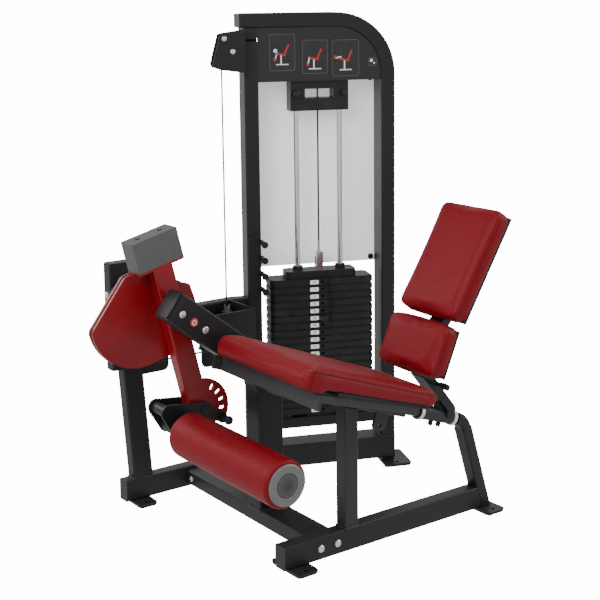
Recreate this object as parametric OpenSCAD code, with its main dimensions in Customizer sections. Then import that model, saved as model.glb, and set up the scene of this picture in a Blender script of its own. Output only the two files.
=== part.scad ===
// Leg extension machine with a weight stack. Millimetres, +Z up, the sitter faces -Y.
// The near floor rail lies on x = 0 and the middle of its front foot is the origin.

/* [Floor frame] */
// Width of the floor rails, posts and lever tubes
tube_w = 50; // [46:1:54]
// Height of the floor rails
rail_h = 74; // [68:1:80]
// Corner radius of the square tubes
tube_r = 6; // [4:1:8]
// Front end of the near floor rail, ahead of the origin
near_rail_front = 49; // [44:1:60]
// Distance from the near rail to the left rail, centre to centre
rail_spacing = 761; // [755:1:775]
// Front end of the left rail, ahead of the origin
left_rail_front = 169; // [165:1:190]
// Width of the cross rail, along y
cross_w = 100; // [90:1:104]
// Height of the cross rail
cross_h = 50; // [44:1:56]
// Front face of the cross rail
cross_y = 63; // [58:1:66]
// Length of a foot plate across the rail
foot_l = 150; // [130:1:160]
// Width of a foot plate along the rail
foot_w = 78; // [70:1:90]
// Thickness of a foot plate
foot_t = 8; // [6:1:10]
// Thickness of the rubber pad under a foot plate
pad_t = 4; // [3:1:6]

/* [Seat supports] */
// Middle of the near post, along y
post_y = 202; // [198:1:210]
// Slope of the seat and of the slide tube, degrees
seat_tilt = 19; // [18:0.5:20]
// Height of the seat tube's middle above the near post
seat_tube_z = 494; // [490:1:500]
// Diameter of the round slide tube
slide_d = 38; // [34:1:42]
// Lean of the rear leg, degrees
rear_lean = 17; // [16:0.5:18]
// Depth of the rear leg's flat tube
rear_leg_d = 40; // [36:1:44]
// Distance from the left rail's middle to the seat leg's left face
leg_off = 413; // [409:1:417]
// Width of the seat leg's tube
leg_w = 75; // [70:1:78]
// Depth of the seat leg's tube
leg_d = 95; // [88:1:98]
// Inner radius of the seat leg's bend
leg_bend_r = 120; // [112:1:126]
// Height where the seat leg's bend starts
leg_bend_z = 450; // [444:1:456]
// Rise of the seat arm above the horizontal, degrees
arm_rise = 37.6; // [36.5:0.1:38.5]
// Length of the straight seat arm
arm_l = 326; // [318:1:336]

/* [Lever] */
// Lever axis, along y
pivot_y = -168; // [-172:1:-164]
// Lever axis, height
pivot_z = 736; // [732:1:740]
// Distance from the left rail's middle to the lever arm's near face
lever_off = 366; // [362:1:370]
// Backward lean of the hanging lever, degrees
lever_tilt = 14.2; // [13:0.2:15.4]
// Width of the lever arm
lever_w = 70; // [64:1:74]
// Thickness of the cam
cam_t = 28; // [26:1:32]
// Radius of the cam's lower rim
cam_r = 163; // [158:1:166]
// Depth of the cable groove
groove_d = 10; // [9:1:12]
// Width of the cable groove
groove_w = 9; // [8:0.5:11]
// Diameter of the lever shaft
shaft_d = 40; // [36:1:44]
// Length of the counterweight
weight_l = 161; // [150:1:170]
// Height of the counterweight
weight_h = 96; // [90:1:102]
// Thickness of the counterweight
weight_t = 72; // [66:1:76]

/* [Roller] */
// Outer diameter of the foam roller
roller_d = 144; // [136:1:150]
// Length of the foam roller
roller_l = 530; // [510:1:545]
// Gap between the axle's boss and the foam roller
roller_gap = 29; // [24:1:34]
// Distance from the bracket hinge to the roller axle
roller_reach = 104; // [100:1:110]
// Diameter of the roller axle
axle_d = 30; // [26:1:32]
// Thickness of the bracket plates
bracket_t = 8; // [6:1:9]

/* [Cushions] */
// Width of the seat at its front
seat_front_w = 490; // [470:5:500]
// Width of the seat at its rear
seat_rear_w = 300; // [290:5:330]
// Length of the seat along its slope
seat_l = 545; // [535:1:555]
// Thickness of the seat cushion at its rear
seat_t = 46; // [42:1:52]
// Thickness of the cushion boards
board_t = 12; // [10:1:14]
// Width of the back pads
back_w = 276; // [260:2:300]
// Thickness of the back pads
back_t = 56; // [50:1:60]

/* [Tower] */
// Height of the weight tower
tower_h = 1650; // [1620:5:1700]
// Clear width between the tower's uprights
tower_in = 440; // [430:2:450]
// Depth of the tower's uprights
tower_d = 100; // [96:1:104]
// Outer radius of the bend in the top tube
tower_bend_r = 214; // [180:2:230]
// Turn of the tower about the vertical, degrees
tower_turn = 67.9; // [67.4:0.1:68.4]
// Height of the tower's base rail
base_h = 82; // [76:1:86]
// Number of weight plates that rest below the selector pin
resting_n = 13; // [13:1:13]
// Number of weight plates that the selector pin lifts
lifted_n = 6; // [6:1:6]
// Pitch of the weight plates
plate_pitch = 26.2; // [25.6:0.1:26.6]
// Width of a weight plate
plate_w = 376; // [360:2:390]
// Depth of a weight plate
plate_d = 100; // [94:1:104]
// Diameter of the guide rods
rod_d = 20; // [18:1:22]
// Distance between the guide rods
rod_spacing = 156; // [150:1:166]
// Bottom of the lowest weight plate
stack_z = 218; // [214:1:224]
// Radius of the cable's path round the frame pulleys
pulley_r = 36; // [34:1:38]
// Diameter of the cable
cable_d = 6; // [5:0.5:6]

/* [Hidden] */
$fn = 64;
run_fit = 0.05;
slide_fit = 0.1;
plate_gap = 0.2;
e = 0.01;
// Hairline between the straight and bent lengths of a tube
seam = 0.1;

foot_top = pad_t + foot_t;
rail_top = foot_top + rail_h;
left_x = -rail_spacing;
leg_x = left_x + leg_off;
lever_x = left_x + lever_off;
// Foot of the tower's near upright, front left corner; it moves with the left rail
tower_o = [left_x + 249, 762];
tower_w = tube_w;

// ---- shared shapes ----

// Tube section with rounded corners
module section(w, h, r = tube_r) {
  union() {
    square([w - 2 * r, h], center = true);
    square([w, h - 2 * r], center = true);
    for (a = [-1, 1], b = [-1, 1]) translate([a * (w / 2 - r), b * (h / 2 - r)]) circle(r);
  }
}
module tube_z(w, d, z0, z1) {
  translate([0, 0, z0]) linear_extrude(z1 - z0) section(w, d);
}
module tube_y(w, h, y0, y1) {
  translate([0, y0, 0]) rotate([-90, 0, 0]) linear_extrude(y1 - y0) section(w, h);
}
module tube_x(d, h, x0, x1) {
  translate([x0, 0, 0]) rotate([90, 0, 90]) linear_extrude(x1 - x0) section(d, h);
}
// Flat shape drawn in (y, z), from x0 to x1
module side_plate(x0, x1) {
  translate([x0, 0, 0]) rotate([90, 0, 90]) linear_extrude(x1 - x0) children();
}
module rod_x(d, x0, x1) {
  translate([x0, 0, 0]) rotate([0, 90, 0]) cylinder(d = d, h = x1 - x0);
}
// Bar with round ends between two points of the drawing plane
module link(p, q, r) {
  v = q - p;
  union() {
    translate(p) circle(r);
    translate(q) circle(r);
    translate(p) rotate(atan2(v[1], v[0])) translate([0, -r]) square([norm(v), 2 * r]);
  }
}
// Bar bent from flat stock between two points, with rounded ends
module flat_bar(p, q, r) {
  offset(r = r) polygon([p, q, (p + q) / 2 + [0.2, 0.2]]);
}
// Button head of a screw with its socket, outwards along +z
module button_screw(d) {
  translate([0, 0, plate_gap / 4]) difference() {
    rotate_extrude() polygon([[0, 0], [d, 0], [0.94 * d, 0.24 * d], [0.7 * d, 0.45 * d], [0, 0.5 * d]]);
    translate([0, 0, 0.25 * d]) cylinder(d = 0.7 * d, h = d, $fn = 6);
  }
}
// Tower frame: x runs along the tower to the rear, y into its depth
module in_tower() {
  translate([tower_o[0], tower_o[1], 0]) rotate([0, 0, tower_turn]) children();
}
// Flat shape drawn in the tower's (u, z), from depth d0 to d1
module tower_plate(d0, d1) {
  translate([0, d1, 0]) rotate([90, 0, 0]) linear_extrude(d1 - d0) children();
}
function to_tower(u, d) = [
  tower_o[0] + u * cos(tower_turn) - d * sin(tower_turn),
  tower_o[1] + u * sin(tower_turn) + d * cos(tower_turn)
];
// Seat frame: origin on the seat tube's axis above the post, y down the slope, z square to it
module in_seat() {
  translate([0, post_y, seat_tube_z]) rotate([-seat_tilt, 0, 0]) children();
}
// Lever frame: origin on the lever axis, z along the hanging arm upwards
module in_lever() {
  translate([0, pivot_y, pivot_z]) rotate([lever_tilt, 0, 0]) children();
}
// Cord swept along points, with a ring at each point
function unit(v) = v / norm(v);
module cord(path, r, sides = 8) {
  n = len(path);
  tangent = [for (i = [0:n - 1]) unit(path[min(i + 1, n - 1)] - path[max(i - 1, 0)])];
  rings = [for (i = [0:n - 1])
    let (ref = abs(tangent[i][2]) > 0.9 ? [1, 0, 0] : [0, 0, 1],
         a = unit(cross(ref, tangent[i])), b = cross(tangent[i], a))
    for (k = [0:sides - 1]) path[i] + r * (cos(360 * k / sides) * a + sin(360 * k / sides) * b)];
  polyhedron(points = rings, faces = concat(
    [[for (k = [0:sides - 1]) k]],
    [for (i = [0:n - 2], k = [0:sides - 1])
      let (a = i * sides + k, b = i * sides + (k + 1) % sides) [a, a + sides, b + sides, b]],
    [[for (k = [sides - 1:-1:0]) (n - 1) * sides + k]]));
}
// Grooved wheel about z, its cable running at radius r
module pulley(r, bore) {
  root = r - cable_d / 2 - 0.2;
  rim = root + 7;
  difference() {
    rotate_extrude() polygon([
      [bore / 2 + run_fit, -10], [bore / 2 + 5, -10], [bore / 2 + 5, -6], [root - 7, -6], [root - 5, -9],
      [rim, -9], [rim, -7.5], [root, -3], [root, 3], [rim, 7.5], [rim, 9], [root - 5, 9],
      [root - 7, 6], [bore / 2 + 5, 6], [bore / 2 + 5, 10], [bore / 2 + run_fit, 10]]);
    for (k = [0:4]) rotate(72 * k) translate([(root - 7 + bore / 2 + 5) / 2, 0, -20])
      cylinder(d = 7, h = 40);
  }
}

// ---- floor frame ----

// A place along the seat's slope and square to it, in y and z
function slide_point(s, t) = [post_y + s * cos(seat_tilt) + t * sin(seat_tilt),
                              seat_tube_z - s * sin(seat_tilt) + t * cos(seat_tilt)];
seat_front = -305;
seat_end = seat_front + seat_l;
// Where the rear leg's middle line meets the slide tube's
meet_y = slide_point(seat_end + 261, 0)[0];
meet_z = slide_point(seat_end + 261, 0)[1];
rear_foot_y = meet_y + (meet_z - foot_top) * tan(rear_lean);
rear_leg_front = rear_foot_y - rear_leg_d / 2 / cos(rear_lean);

module near_rail() color("#282628") difference() {
  translate([0, 0, foot_top + rail_h / 2]) tube_y(tube_w, rail_h, -near_rail_front, rear_foot_y);
  translate([0, meet_y, meet_z]) rotate([rear_lean, 0, 0])
    translate([-tube_w, -rear_leg_d / 2, -2 * rail_h - 400]) cube([2 * tube_w, 200, 600]);
}
module cross_rail() color("#282628")
  translate([0, cross_y + cross_w / 2, foot_top + rail_h / 2])
    tube_x(cross_w, cross_h, left_x + tube_w / 2, -tube_w / 2);

// Plan path of the left side: straight back, then bent along the tower
side_bend_r = 110;
tower_left = -tower_in - tower_w;
side_depth = tower_d / 2;
side_meet_y = tower_o[1] + (side_depth - (tower_o[0] - left_x) * sin(tower_turn)) / cos(tower_turn);
side_turn = 90 - tower_turn;
side_tangent = side_bend_r * tan(side_turn / 2);
side_meet_u = ([left_x, side_meet_y] - tower_o) * [cos(tower_turn), sin(tower_turn)];
module side_run(y0, z0, z1) {
  zc = (z0 + z1) / 2;
  translate([left_x, 0, zc]) tube_y(tube_w, z1 - z0, y0, side_meet_y - side_tangent - seam);
  translate([left_x + side_bend_r, side_meet_y - side_tangent, zc]) rotate([0, 0, 180 - side_turn])
    rotate_extrude(angle = side_turn) translate([side_bend_r, 0]) section(tube_w, z1 - z0);
  in_tower() translate([0, side_depth, zc])
    tube_x(tube_w, z1 - z0, side_meet_u + side_tangent + seam, tower_left);
}
module left_rail() color("#282628") side_run(-left_rail_front, foot_top, rail_top);

left_foot_y = -119;
tower_foot_u = 52;
// One foot: plate with rounded corners and two bolt holes
module foot(l, w) {
  difference() {
    linear_extrude(foot_t) section(l, w, 14);
    for (a = [-1, 1]) translate([a * (l / 2 - 20), 0, -1]) cylinder(d = 13, h = foot_t + 2);
  }
}
module foot_plates() color("#1f1e20") {
  for (y = [0, rear_foot_y]) translate([0, y, pad_t]) foot(foot_l, foot_w);
  translate([left_x + 28, left_foot_y, pad_t]) foot(106, 70);
  in_tower() translate([tower_foot_u, tower_d / 2 - 15, pad_t]) rotate(90) foot(foot_l, 104);
  in_tower() translate([tower_foot_u - 26, tower_d / 2, 0]) tube_z(48, tower_d - 10, foot_top, base_z);
}
module rubber_feet() color("#111111") {
  for (y = [0, rear_foot_y]) linear_pad(0, y, foot_l, foot_w);
  linear_pad(left_x + 28, left_foot_y, 106, 70);
  in_tower() rotate(0) translate([tower_foot_u, tower_d / 2 - 15, 0]) linear_extrude(pad_t)
    section(98, foot_l - 6, 12);
}
module linear_pad(x, y, l, w) {
  translate([x, y, 0]) linear_extrude(pad_t) section(l - 6, w - 6, 12);
}
base_z = 24;
base_top = base_z + base_h;

module near_post() color("#3a3a3c") difference() {
  translate([0, post_y, 0]) tube_z(tube_w, tube_w + 2, rail_top, seat_tube_z);
  in_seat() translate([-tube_w, -100, -tube_w / 2]) cube([2 * tube_w, 200, 200]);
}

// ---- seat leg and arm ----

leg_front = cross_y - 2;
leg_mid_r = leg_bend_r + leg_d / 2;
arm_turn = 90 - arm_rise;
arm_start = [leg_front - leg_bend_r + leg_mid_r * cos(arm_turn), leg_bend_z + leg_mid_r * sin(arm_turn)];
arm_end = arm_start + arm_l * [-cos(arm_rise), sin(arm_rise)];
leg_xm = leg_x + leg_w / 2;
module seat_leg() color("#333335") difference() {
  union() {
    translate([leg_xm, leg_front + leg_d / 2, 0]) tube_z(leg_w, leg_d, cross_top, leg_bend_z - seam);
    translate([leg_xm, leg_front - leg_bend_r, leg_bend_z]) rotate([90, 0, 90])
      rotate_extrude(angle = arm_turn) translate([leg_mid_r, 0]) section(leg_d, leg_w);
    translate([leg_xm, arm_start[0], arm_start[1]]) rotate([90 + arm_turn - 90, 0, 0])
      tube_z(leg_w, leg_d, seam, arm_l);
  }
  // clearance hole for the shaft's end
  translate([leg_x - 1, pivot_y, pivot_z]) rotate([0, 90, 0]) cylinder(d = shaft_d + 4, h = 31);
}
cross_top = foot_top + rail_h / 2 + cross_h / 2;

// ---- left front post, bearing box and upper beam ----

post_lean = 4;
box_front = -208;
box_rear = -89;
box_z0 = 480;
box_top = 840;
beam_top = 655;
beam_h = 100;
module front_post() color("#2c2b2d") {
  difference() {
    translate([left_x, -134, box_z0 + 15]) rotate([post_lean, 0, 0]) tube_z(tube_w - 2, 73, -520, 20);
    translate([left_x - tube_w, -400, rail_top - 200]) cube([2 * tube_w, 600, 200]);
    translate([left_x - tube_w, -400, box_z0]) cube([2 * tube_w, 600, 200]);
  }
  // gusset plate under the beam, its lower corner rounded
  side_plate(left_x + 4, left_x + 12) difference() {
    union() {
      translate([box_rear, 465]) square([100, beam_top - beam_h - 465]);
      translate([box_rear, 445]) square([80, 40]);
      translate([box_rear + 80, 465]) circle(20);
      translate([-102, 445]) square([20, box_z0 - 445]);
    }
    translate([-140, box_z0]) square([140 + box_rear, 200]);
    translate([-134, box_z0 + 15]) rotate(post_lean) translate([-60, -100]) square([60 + 36.5, 200]);
  }
}
module bearing_box() color("#2c2b2d") difference() {
  translate([left_x, (box_front + box_rear) / 2, 0])
    tube_z(tube_w - 2, box_rear - box_front, box_z0, box_top);
  translate([left_x + tube_w / 2 - 20, pivot_y, pivot_z]) rotate([0, 90, 0])
    cylinder(d = shaft_d + 4, h = 30);
}
module upper_beam() color("#2c2b2d") side_run(box_rear, beam_top - beam_h, beam_top);

// ---- cable path ----

// Middle of the cam's round lobe, in the lever's frame and in place
lobe = [-93, 22];
lobe_at = [pivot_y + lobe[0] * cos(lever_tilt) - lobe[1] * sin(lever_tilt),
           pivot_z + lobe[0] * sin(lever_tilt) + lobe[1] * cos(lever_tilt)];
// Radius of the cable laid in the cam's groove
groove_path_r = cam_r - groove_d + cable_d / 2 + 0.3;

// Front cable drops beside the tower; the guide pulley turns it into the cam's plane
cable_u = -569;
cable_depth = -5;
drop = to_tower(cable_u, cable_depth);
cam_x1 = lever_x - tube_w;
cam_x0 = cam_x1 - cam_t;
groove_x = (cam_x0 + cam_x1) / 2;
top_pulley_z = tower_h - 127;
run_z = lobe_at[1] - groove_path_r;
lower_z = run_z + pulley_r;
guide_c = [groove_x - pulley_r, 60];
bracket_z = run_z - 96;
guide_v = guide_c - drop;
heading = atan2(guide_v[1], guide_v[0]) + asin(pulley_r / norm(guide_v));
guide_in = guide_c + pulley_r * [cos(heading + 90), sin(heading + 90)];
lower_c = drop + pulley_r * [cos(heading), sin(heading)];
cam_touch_y = lobe_at[0] + 0.5;
bracket_x = -585;
bracket_t2 = 6;

module pulley_bracket() color("#2c2b2d") {
  difference() {
    union() {
      // near plate with its rounded lower front corner
      side_plate(bracket_x, bracket_x + bracket_t2) union() {
        translate([guide_c[1] + 2, bracket_z]) square([198, beam_top - bracket_z]);
        translate([guide_c[1] - 18, bracket_z + 20]) square([30, beam_top - bracket_z - 20]);
        translate([guide_c[1] + 2, bracket_z + 20]) circle(20);
      }
      // web from the beam and the floor under the pulley
      translate([left_x + tube_w / 2, guide_c[1] + 194, bracket_z + 18])
        cube([bracket_x - left_x - tube_w / 2 + e, 6, beam_top - bracket_z - 18]);
      translate([left_x + tube_w / 2, guide_c[1] + 60, bracket_z + 18])
        cube([bracket_x - left_x - tube_w / 2 + e, 140, 6]);
      // shelf of the guide pulley
      translate([bracket_x + bracket_t2 - e, guide_c[1] - 30, run_z - 22])
        cube([guide_c[0] - bracket_x - bracket_t2 + 25, 60, 8]);
      // forks of the lower pulley
      for (s = [-1, 1]) translate([lower_c[0], lower_c[1], bracket_z + 18]) rotate(heading)
        translate([-14, s * 14 - 3, 2]) cube([28, 6, lower_z - bracket_z - 4]);
    }
    // window for the cable's run to the guide pulley
    translate([drop[0], drop[1], run_z]) rotate([0, 90, heading]) cylinder(d = 30, h = 260);
  }
  translate([lower_c[0], lower_c[1], lower_z]) rotate([90, 0, heading])
    cylinder(d = 12, h = 40, center = true);
  translate([guide_c[0], guide_c[1], run_z - 15]) cylinder(d = 12, h = 30);
}
module lower_pulley() color("#4a4a4c")
  translate([lower_c[0], lower_c[1], lower_z]) rotate([90, 0, heading]) pulley(pulley_r, 12);
module guide_pulley() color("#4a4a4c") translate([guide_c[0], guide_c[1], run_z]) pulley(pulley_r, 12);

// ---- rear leg, seat tube and front rail ----

rear_bend_r = 60;
rear_turn = 90 - rear_lean - seat_tilt;
rear_tangent = rear_bend_r * tan(rear_turn / 2);
slide_end = seat_end + 261 - rear_tangent;
module rear_leg() color("#242325") {
  translate([0, meet_y, meet_z]) rotate([rear_lean, 0, 0]) intersection() {
    tube_z(tube_w, rear_leg_d, -(meet_z + 40) / cos(rear_lean), -rear_tangent + e);
    translate([0, 0, 0]) rotate([-rear_lean, 0, 0]) translate([-50, -200, -meet_z + foot_top + seam])
      cube([100, 600, 500]);
  }
  // bend towards the slide tube
  translate([0, meet_y, meet_z]) rotate([rear_lean, 0, 0]) translate([0, -rear_bend_r, -rear_tangent])
    rotate([90, 0, 90]) rotate_extrude(angle = rear_turn) translate([rear_bend_r, 0])
      section(rear_leg_d, tube_w, 12);
}
tube_front = seat_front + 20;
slide_start = seat_end - 8;
module seat_tube() color("#40423f") in_seat() {
  tube_y(tube_w, tube_w, tube_front, slide_start);
  // lug under the tube's rear end
  side_plate(-5, 5) difference() {
    union() {
      translate([seat_end - 110, -60]) square([52, 40]);
      link([seat_end - 94, -66], [seat_end - 74, -66], 16);
    }
    translate([seat_end - 84, -64]) circle(7);
  }
  translate([0, slide_start - e, 0]) rotate([-90, 0, 0])
    cylinder(d = slide_d, h = slide_end - slide_start + e - seam);
}
// Half width of the seat frame at a place along the slope
bar_end = seat_end - 52;
function frame_half(y) = seat_front_w / 2 - 24
  - (y - tube_front) * (seat_front_w - seat_rear_w + 16) / 2 / (bar_end - tube_front);
module square_bar(y) {
  w = frame_half(y);
  difference() {
    translate([-w, 0]) square([2 * w, 40]);
    translate([0, 20]) circle(5);
  }
}
// Flat rail under the seat's front, from the seat arm to the near side, with its end lug
front_rail_t = 8;
module seat_cross_rail() color("#4b504d") in_seat() difference() {
  union() {
    translate([leg_x + leg_w, tube_front - 12, -18])
      cube([seat_front_w / 2 - leg_x - leg_w - 12, 12, 36 + 7]);
    translate([leg_x + leg_w, tube_front - 40, -18]) cube([6, 40, 43]);
    // side bars under the seat's edges, and flat bars that carry the board over the tube
    for (s = [-1, 1]) translate([0, 0, 3]) linear_extrude(tube_w / 2 - 2.85) polygon([
      [s * (seat_front_w / 2 - 20), tube_front - 11], [s * (seat_front_w / 2 - 28), tube_front - 11],
      [s * (seat_rear_w / 2 - 36), bar_end], [s * (seat_rear_w / 2 - 28), bar_end]]);
    for (y = [tube_front + 105, bar_end - 38]) translate([0, y, tube_w / 2 + 0.05]) linear_extrude(2.9)
      square_bar(y);
  }
  translate([leg_x + leg_w - 1, tube_front - 26, 4]) rotate([0, 90, 0]) cylinder(d = 13, h = 10);
}

// ---- seat ----

seat_lift = tube_w / 2 + 3;
module seat_plan(inset) {
  offset(r = 24) offset(delta = -24) polygon([
    [-seat_front_w / 2 + inset, seat_front + inset], [seat_front_w / 2 - inset, seat_front + inset],
    [seat_rear_w / 2 - inset, seat_end - inset], [-seat_rear_w / 2 + inset, seat_end - inset]]);
}
nose_r = (seat_t + 26) / 2;
board_y = seat_front + 2 * nose_r + 10;
module seat_board() color("#1c1c1c") in_seat() translate([0, 0, seat_lift])
  linear_extrude(board_t) difference() {
    seat_plan(14);
    translate([-seat_front_w, seat_front - 1]) square([2 * seat_front_w, board_y - seat_front + 1]);
  }
// Cushion: side profile with a tall round nose, cut to the tapered plan
module seat_cushion() color("#a52d37") in_seat() intersection() {
  translate([0, 0, seat_lift - 60]) linear_extrude(200) seat_plan(0);
  translate([0, 0, seat_lift + 0.5]) side_plate(-seat_front_w, seat_front_w) union() {
    translate([seat_front + nose_r, nose_r]) circle(nose_r);
    polygon([
      [seat_front + nose_r, 2 * nose_r], [seat_front + nose_r, 0], [board_y - 4, 0], [board_y - 4, board_t],
      [seat_end - 6, board_t], [seat_end, board_t + 6],
      [seat_end, board_t + seat_t - 12], [seat_end - 12, board_t + seat_t]]);
  }
}

// ---- bearings on the lever shaft ----

bearing_t = 15;
bearing_d = 86;
module flange_bearing(turn) {
  difference() {
    union() {
      cylinder(d = bearing_d, h = bearing_t);
      linear_extrude(bearing_t * 0.6) rotate(turn) link([-50, 0], [50, 0], 14);
    }
    translate([0, 0, -1]) cylinder(d = shaft_d + 2 * run_fit, h = bearing_t + 2);
    for (s = [-1, 1]) rotate(turn) translate([50 * s, 0, -1]) cylinder(d = 10, h = bearing_t + 2);
  }
}
module pivot_bearings() color("#55575a") {
  translate([left_x + tube_w / 2 - 1, pivot_y, pivot_z]) rotate([0, 90, 0]) flange_bearing(0);
  translate([leg_x, pivot_y, pivot_z]) rotate([0, -90, 0]) flange_bearing(-(90 - arm_rise));
}

// ---- lever ----

lever_foot = -372;
hinge_at = [12, -336];
lobe_flat = 112;
flat_turn = 38.7;
// Cam outline about the lever axis, pulled in by inset
module cam_outline(inset) {
  offset(r = 26 - inset) offset(delta = -26) intersection() {
    union() {
      translate(lobe) circle(cam_r, $fn = 96);
      polygon([[-93, 185], [-93, -141], [20, -141], [20, 185]]);
    }
    translate(lobe) rotate(flat_turn) translate([-300, -300]) square([600, 300 + lobe_flat]);
    translate([-400, -300]) square([500, 458]);
  }
}
module hub_outline() {
  union() {
    polygon([[-60, 158], [52, 158], [61, 87], [92, 59], [107, 51], [112, -18], [70, -90], [-60, -138]]);
    circle(80);
  }
}
module cam() color("#951920") in_lever() difference() {
  union() {
    side_plate(cam_x0, groove_x - groove_w / 2) cam_outline(0);
    side_plate(groove_x - groove_w / 2 - e, groove_x + groove_w / 2 + e) cam_outline(groove_d);
    side_plate(groove_x + groove_w / 2, cam_x1) cam_outline(0);
    side_plate(cam_x0, cam_x1) hub_outline();
  }
  rod_x(shaft_d, cam_x0 - 1, cam_x1 + 1);
}
slot_pitch = 22.5;
sector_r = 75;
sector_t = 8;
module lever_arm() color("#a01c24") in_lever() {
  difference() {
    translate([lever_x - tube_w / 2, hinge_at[0] - 5, 0]) tube_z(tube_w, lever_w, lever_foot, 158);
    rod_x(shaft_d, lever_x - tube_w - 1, lever_x + 1);
    translate([0, hinge_at[0], hinge_at[1]]) rod_x(20 + 2 * run_fit, lever_x - tube_w - 1, lever_x + 1);
  }
  // shelf plate under the counterweight
  translate([lever_x - weight_t, -76, 158]) cube([weight_t, weight_l, 8]);
  // toothed sector for the roller's positions
  side_plate(lever_x - sector_t, lever_x) translate(hinge_at) difference() {
    intersection() {
      circle(sector_r + 24);
      translate([13, -62]) square([120, 160]);
    }
    for (k = [0:4]) rotate(-30 - lever_tilt + k * slot_pitch) translate([sector_r, 0])
      link([-5, 0], [5, 0], 5.4);
  }
}
module counterweight() color("#616161") in_lever()
  translate([lever_x - weight_t, -76, 166]) difference() {
    cube([weight_t, weight_l, weight_h]);
    for (s = [0, 1]) translate([weight_t / 2, weight_l * (0.25 + 0.5 * s), weight_h - 10])
      cylinder(d = 18, h = 11);
  }
module pivot_shaft() color("#8a8c90") in_lever() {
  rod_x(shaft_d, left_x + tube_w / 2 + 0.5, leg_x - 0.5);
  // collars beside the bearings
  for (x = [left_x + tube_w / 2 + bearing_t + 1, leg_x - bearing_t - 14]) translate([x, 0, 0])
    rotate([0, 90, 0])
    cylinder(d = shaft_d + 16, h = 12);
}
// Cable laid in the cam's groove, from its lowest point up to the anchor
module cam_cable() color("#171717") in_lever() cord([
  for (k = [0:15]) let (a = -90 - lever_tilt - 5.6 * k)
    [groove_x, lobe[0] + groove_path_r * cos(a), lobe[1] + groove_path_r * sin(a)]
], cable_d / 2);

// ---- roller and its bracket ----

hinge = [pivot_y + hinge_at[0] * cos(lever_tilt) - hinge_at[1] * sin(lever_tilt),
         pivot_z + hinge_at[0] * sin(lever_tilt) + hinge_at[1] * cos(lever_tilt)];
roller_dir = 206.6;
axle = hinge + roller_reach * [cos(roller_dir), sin(roller_dir)];
ear_gap = 12;
ear_x1 = lever_x + ear_gap + bracket_t;
ear_x0 = lever_x - tube_w - ear_gap - bracket_t;
boss_l = 16;
roller_x0 = ear_x1 + boss_l + roller_gap;
roller_x = roller_x0 + roller_l;
pin_at = hinge + sector_r * [cos(-30), sin(-30)];
cross_at = hinge + [-131, 16];
module ear() {
  offset(r = 26) polygon([hinge, cross_at, axle]);
}
module roller_bracket() color("#343638") {
  difference() {
    union() {
      side_plate(ear_x0, ear_x0 + bracket_t) ear();
      side_plate(ear_x1 - bracket_t, ear_x1) union() {
        ear();
        flat_bar(hinge, pin_at, 17);
      }
      // front cross tube and axle boss
      translate([0, cross_at[0], cross_at[1]]) rod_x(36, ear_x0 + bracket_t - e, ear_x1 - bracket_t + e);
      translate([0, axle[0], axle[1]]) rod_x(46, ear_x0 - 10, ear_x1 + boss_l);
    }
    translate([0, axle[0], axle[1]]) rod_x(axle_d - 8, ear_x0 - 11, ear_x1);
    translate([0, pin_at[0], pin_at[1]]) rod_x(10 + 2 * run_fit, ear_x1 - bracket_t - 1, ear_x1 + 1);
  }
  // hinge pin through the lever with its heads, and washers on both sides of the lever
  translate([0, hinge[0], hinge[1]]) {
    rod_x(20, ear_x0, ear_x1);
    rod_x(32, ear_x1 - e, ear_x1 + 5);
    rod_x(32, ear_x0 - 5, ear_x0 + e);
    rod_x(44, ear_x0 + bracket_t - e, lever_x - tube_w - 0.3);
    rod_x(44, lever_x + 0.3, ear_x1 - bracket_t + e);
  }
  // axle into the roller
  translate([0, axle[0], axle[1]]) rod_x(axle_d, ear_x1 + boss_l - 1, roller_x - 14);
}
// At rest the pin is drawn clear of the sector, so that the bracket can swing
pin_drawn = sector_t + 0.3;
module pull_pin() color("#1a1a1a") translate([pin_drawn, pin_at[0], pin_at[1]]) {
  rod_x(10, lever_x - sector_t, ear_x1 + 22);
  translate([ear_x1 + 0.4, 0, 0]) rotate([0, 90, 0]) rotate_extrude() polygon([
    [0, 0], [9, 0], [9, 12], [13, 16], [15, 24], [13, 32], [8, 36], [0, 37]]);
}
module foam_roller() color("#8f2129") translate([0, axle[0], axle[1]]) difference() {
  rod_x(roller_d, roller_x0, roller_x);
  rod_x(90, roller_x0 - 1, roller_x + 1);
}
module roller_core() color("#a5a8a3") translate([0, axle[0], axle[1]]) difference() {
  union() {
    rod_x(90, roller_x0 + 4, roller_x - 4);
    // end caps with a raised ring and a domed middle
    translate([roller_x - 4 - e, 0, 0]) rotate([0, 90, 0]) rotate_extrude() polygon([
      [0, 0], [44.5, 0], [44.5, 4.3], [61, 4.3], [61, 7], [56, 10], [36, 10], [35, 8], [34, 8], [33, 10],
        [20, 12], [0, 13]]);
    translate([roller_x0, 0, 0]) rod_x(122, -7, -0.2);
    translate([roller_x0, 0, 0]) rod_x(89, -1, 4.1);
  }
  rod_x(axle_d + 2 * run_fit, roller_x0 - 9, roller_x - 13);
}

// ---- back pads on the sliding carriage ----

// The sleeve's ends, along the slope
sleeve_s = [seat_end + 60, seat_end + 220];
sleeve_d = slide_d + 10;
back_lean = [23.7, 31.9];
lower_foot = slide_point(seat_end - 50, 120.5);
upper_foot = slide_point(seat_end - 21, 312.4);
lower_h = 177;
upper_h = 386;
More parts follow.
